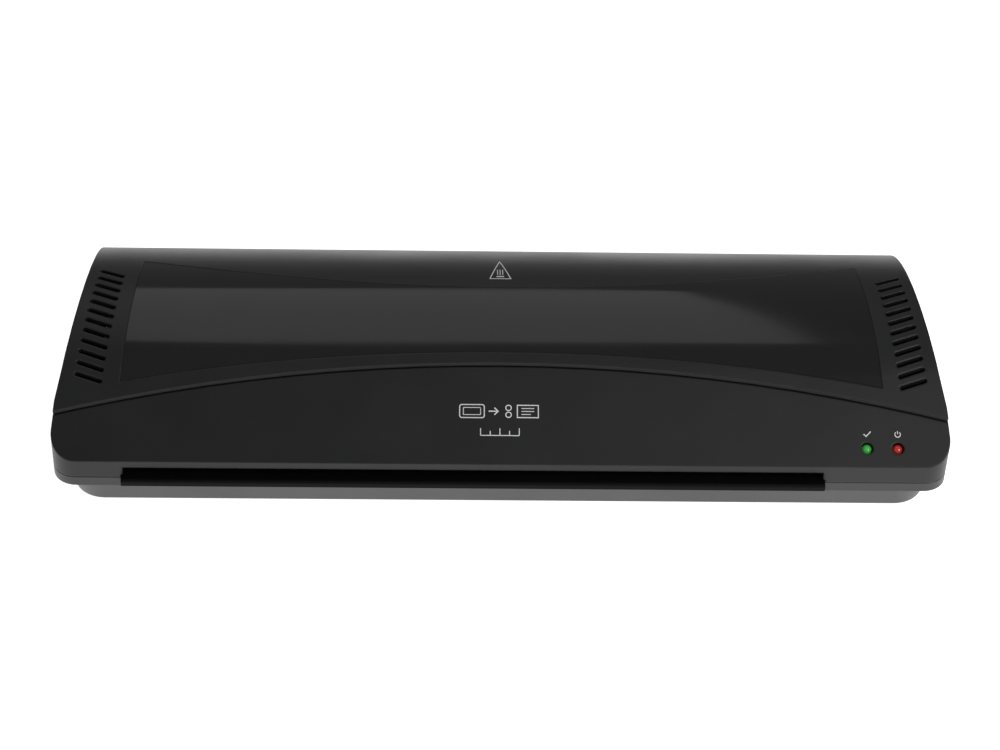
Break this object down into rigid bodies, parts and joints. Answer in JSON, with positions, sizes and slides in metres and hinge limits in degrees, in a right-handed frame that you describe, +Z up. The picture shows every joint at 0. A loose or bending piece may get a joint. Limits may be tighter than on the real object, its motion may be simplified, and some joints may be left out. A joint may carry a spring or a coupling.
{
  "type": "pouch laminator",
  "caption": "Desktop pouch laminator with a long front feed slot, domed vented cover, two status lamps, heated roller pair, gear drive and rear pressure release.",
  "frame": {"origin": "on the table plane, at the middle of the covers' width and depth", "axes": "+X to the right seen from the front, +Y from the feed slot to the rear, +Z up"},
  "size_m": [0.437, 0.1592, 0.072],
  "materials": {
    "cover_plastic": "fine moulded texture",
    "base_plastic": "fine moulded texture",
    "panel_gloss": "polished",
    "lip_plastic": "smooth moulded",
    "black_plastic": "fine moulded texture",
    "foot_rubber": "matte",
    "frame_steel": "zinc plated sheet",
    "shaft_steel": "ground",
    "screw_steel": "zinc plated",
    "spring_steel": "drawn wire",
    "shoe_aluminium": "extruded",
    "shield_metal": "rolled sheet",
    "heater_ceramic": "ceramic case with metal contacts",
    "silicone": "ground silicone",
    "acetal": "natural acetal",
    "bearing_plastic": "heat-proof resin",
    "motor_metal": "passivated can",
    "board": "solder mask",
    "green_lens": "moulded lens",
    "red_lens": "moulded lens",
    "wire_sleeve": "glass-fibre sleeve",
    "terminal_plastic": "natural nylon"
  },
  "bodies": {
    "housing": {"base_tray": "base_plastic", "board_posts_base": "base_plastic", "front_cover": "cover_plastic", "top_cover": "cover_plastic", "gloss_inlay": "panel_gloss", "feed_tray": "lip_plastic", "exit_guide": "black_plastic", "rubber_feet": "foot_rubber", "left_frame": "frame_steel", "right_frame": "frame_steel", "lower_left_bush": "bearing_plastic", "lower_right_bush": "bearing_plastic", "left_spring": "spring_steel", "right_spring": "spring_steel", "upper_shoe": "shoe_aluminium", "lower_shoe": "shoe_aluminium", "upper_heater": "heater_ceramic", "lower_heater": "heater_ceramic", "heat_shield": "shield_metal", "thermostat": "shield_metal", "thermal_fuse": "shield_metal", "idler_pin": "shaft_steel", "motor": "motor_metal", "motor_plate": "frame_steel", "plate_spacers": "shaft_steel", "ready_lamp": "green_lens", "power_lamp": "red_lens", "lamp_board": "board", "rocker_switch": "black_plastic", "cord_gland": "black_plastic", "control_board": "board", "terminal_block": "terminal_plastic", "wiring": "wire_sleeve", "case_screws": "screw_steel", "frame_screws": "screw_steel", "shoe_screws": "screw_steel", "plate_screws": "screw_steel", "motor_screws": "screw_steel", "board_screws": "screw_steel"},
    "upper_carriage": {"upper_left_block": "bearing_plastic", "upper_right_block": "bearing_plastic"},
    "lower_roller_set": {"lower_roller": "silicone", "lower_shaft": "shaft_steel", "lower_gear": "acetal"},
    "upper_roller_set": {"upper_roller": "silicone", "upper_shaft": "shaft_steel", "upper_gear": "acetal"},
    "idler": {"idler_gear": "acetal"},
    "motor_rotor": {"motor_pinion": "acetal", "motor_shaft": "shaft_steel"},
    "release": {"release_shaft": "shaft_steel", "left_cam": "acetal", "right_cam": "acetal", "release_lever": "black_plastic"},
    "rocker": {"power_rocker": "black_plastic"}
  },
  "joints": [
    {"name": "lower_roller_turn", "type": "hinge", "parent": "housing", "child": "lower_roller_set", "pos_m": [0, 0.005, 0.01885], "axis": [1, 0, 0], "continuous": true},
    {"name": "carriage_lift", "type": "slide", "parent": "housing", "child": "upper_carriage", "axis": [0, 0, 1], "range_m": [0, 0.0016], "deforming": ["left_spring", "right_spring"]},
    {"name": "upper_roller_turn", "type": "hinge", "parent": "upper_carriage", "child": "upper_roller_set", "pos_m": [0, 0.005, 0.03515], "axis": [1, 0, 0], "continuous": true},
    {"name": "idler_turn", "type": "hinge", "parent": "housing", "child": "idler", "pos_m": [0, 0.02213, 0.01735], "axis": [1, 0, 0], "continuous": true},
    {"name": "motor_turn", "type": "hinge", "parent": "housing", "child": "motor_rotor", "pos_m": [0, 0.02927, 0.03077], "axis": [1, 0, 0], "continuous": true},
    {"name": "release_turn", "type": "hinge", "parent": "housing", "child": "release", "pos_m": [0, 0.022, 0.03515], "axis": [1, 0, 0], "range_deg": [-10, 0]},
    {"name": "rocker_turn", "type": "hinge", "parent": "housing", "child": "rocker", "pos_m": [0.1847, 0.0715, 0.033], "axis": [0, 0, 1], "range_deg": [-14, 0]}
  ],
  "couplings": [
    {"joint": "upper_roller_turn", "follows": "lower_roller_turn", "ratio": -1},
    {"joint": "idler_turn", "follows": "lower_roller_turn", "ratio": -0.88889},
    {"joint": "motor_turn", "follows": "lower_roller_turn", "ratio": 1.3333},
    {"joint": "release_turn", "follows": "carriage_lift", "rad_per_m": -108.7}
  ]
}
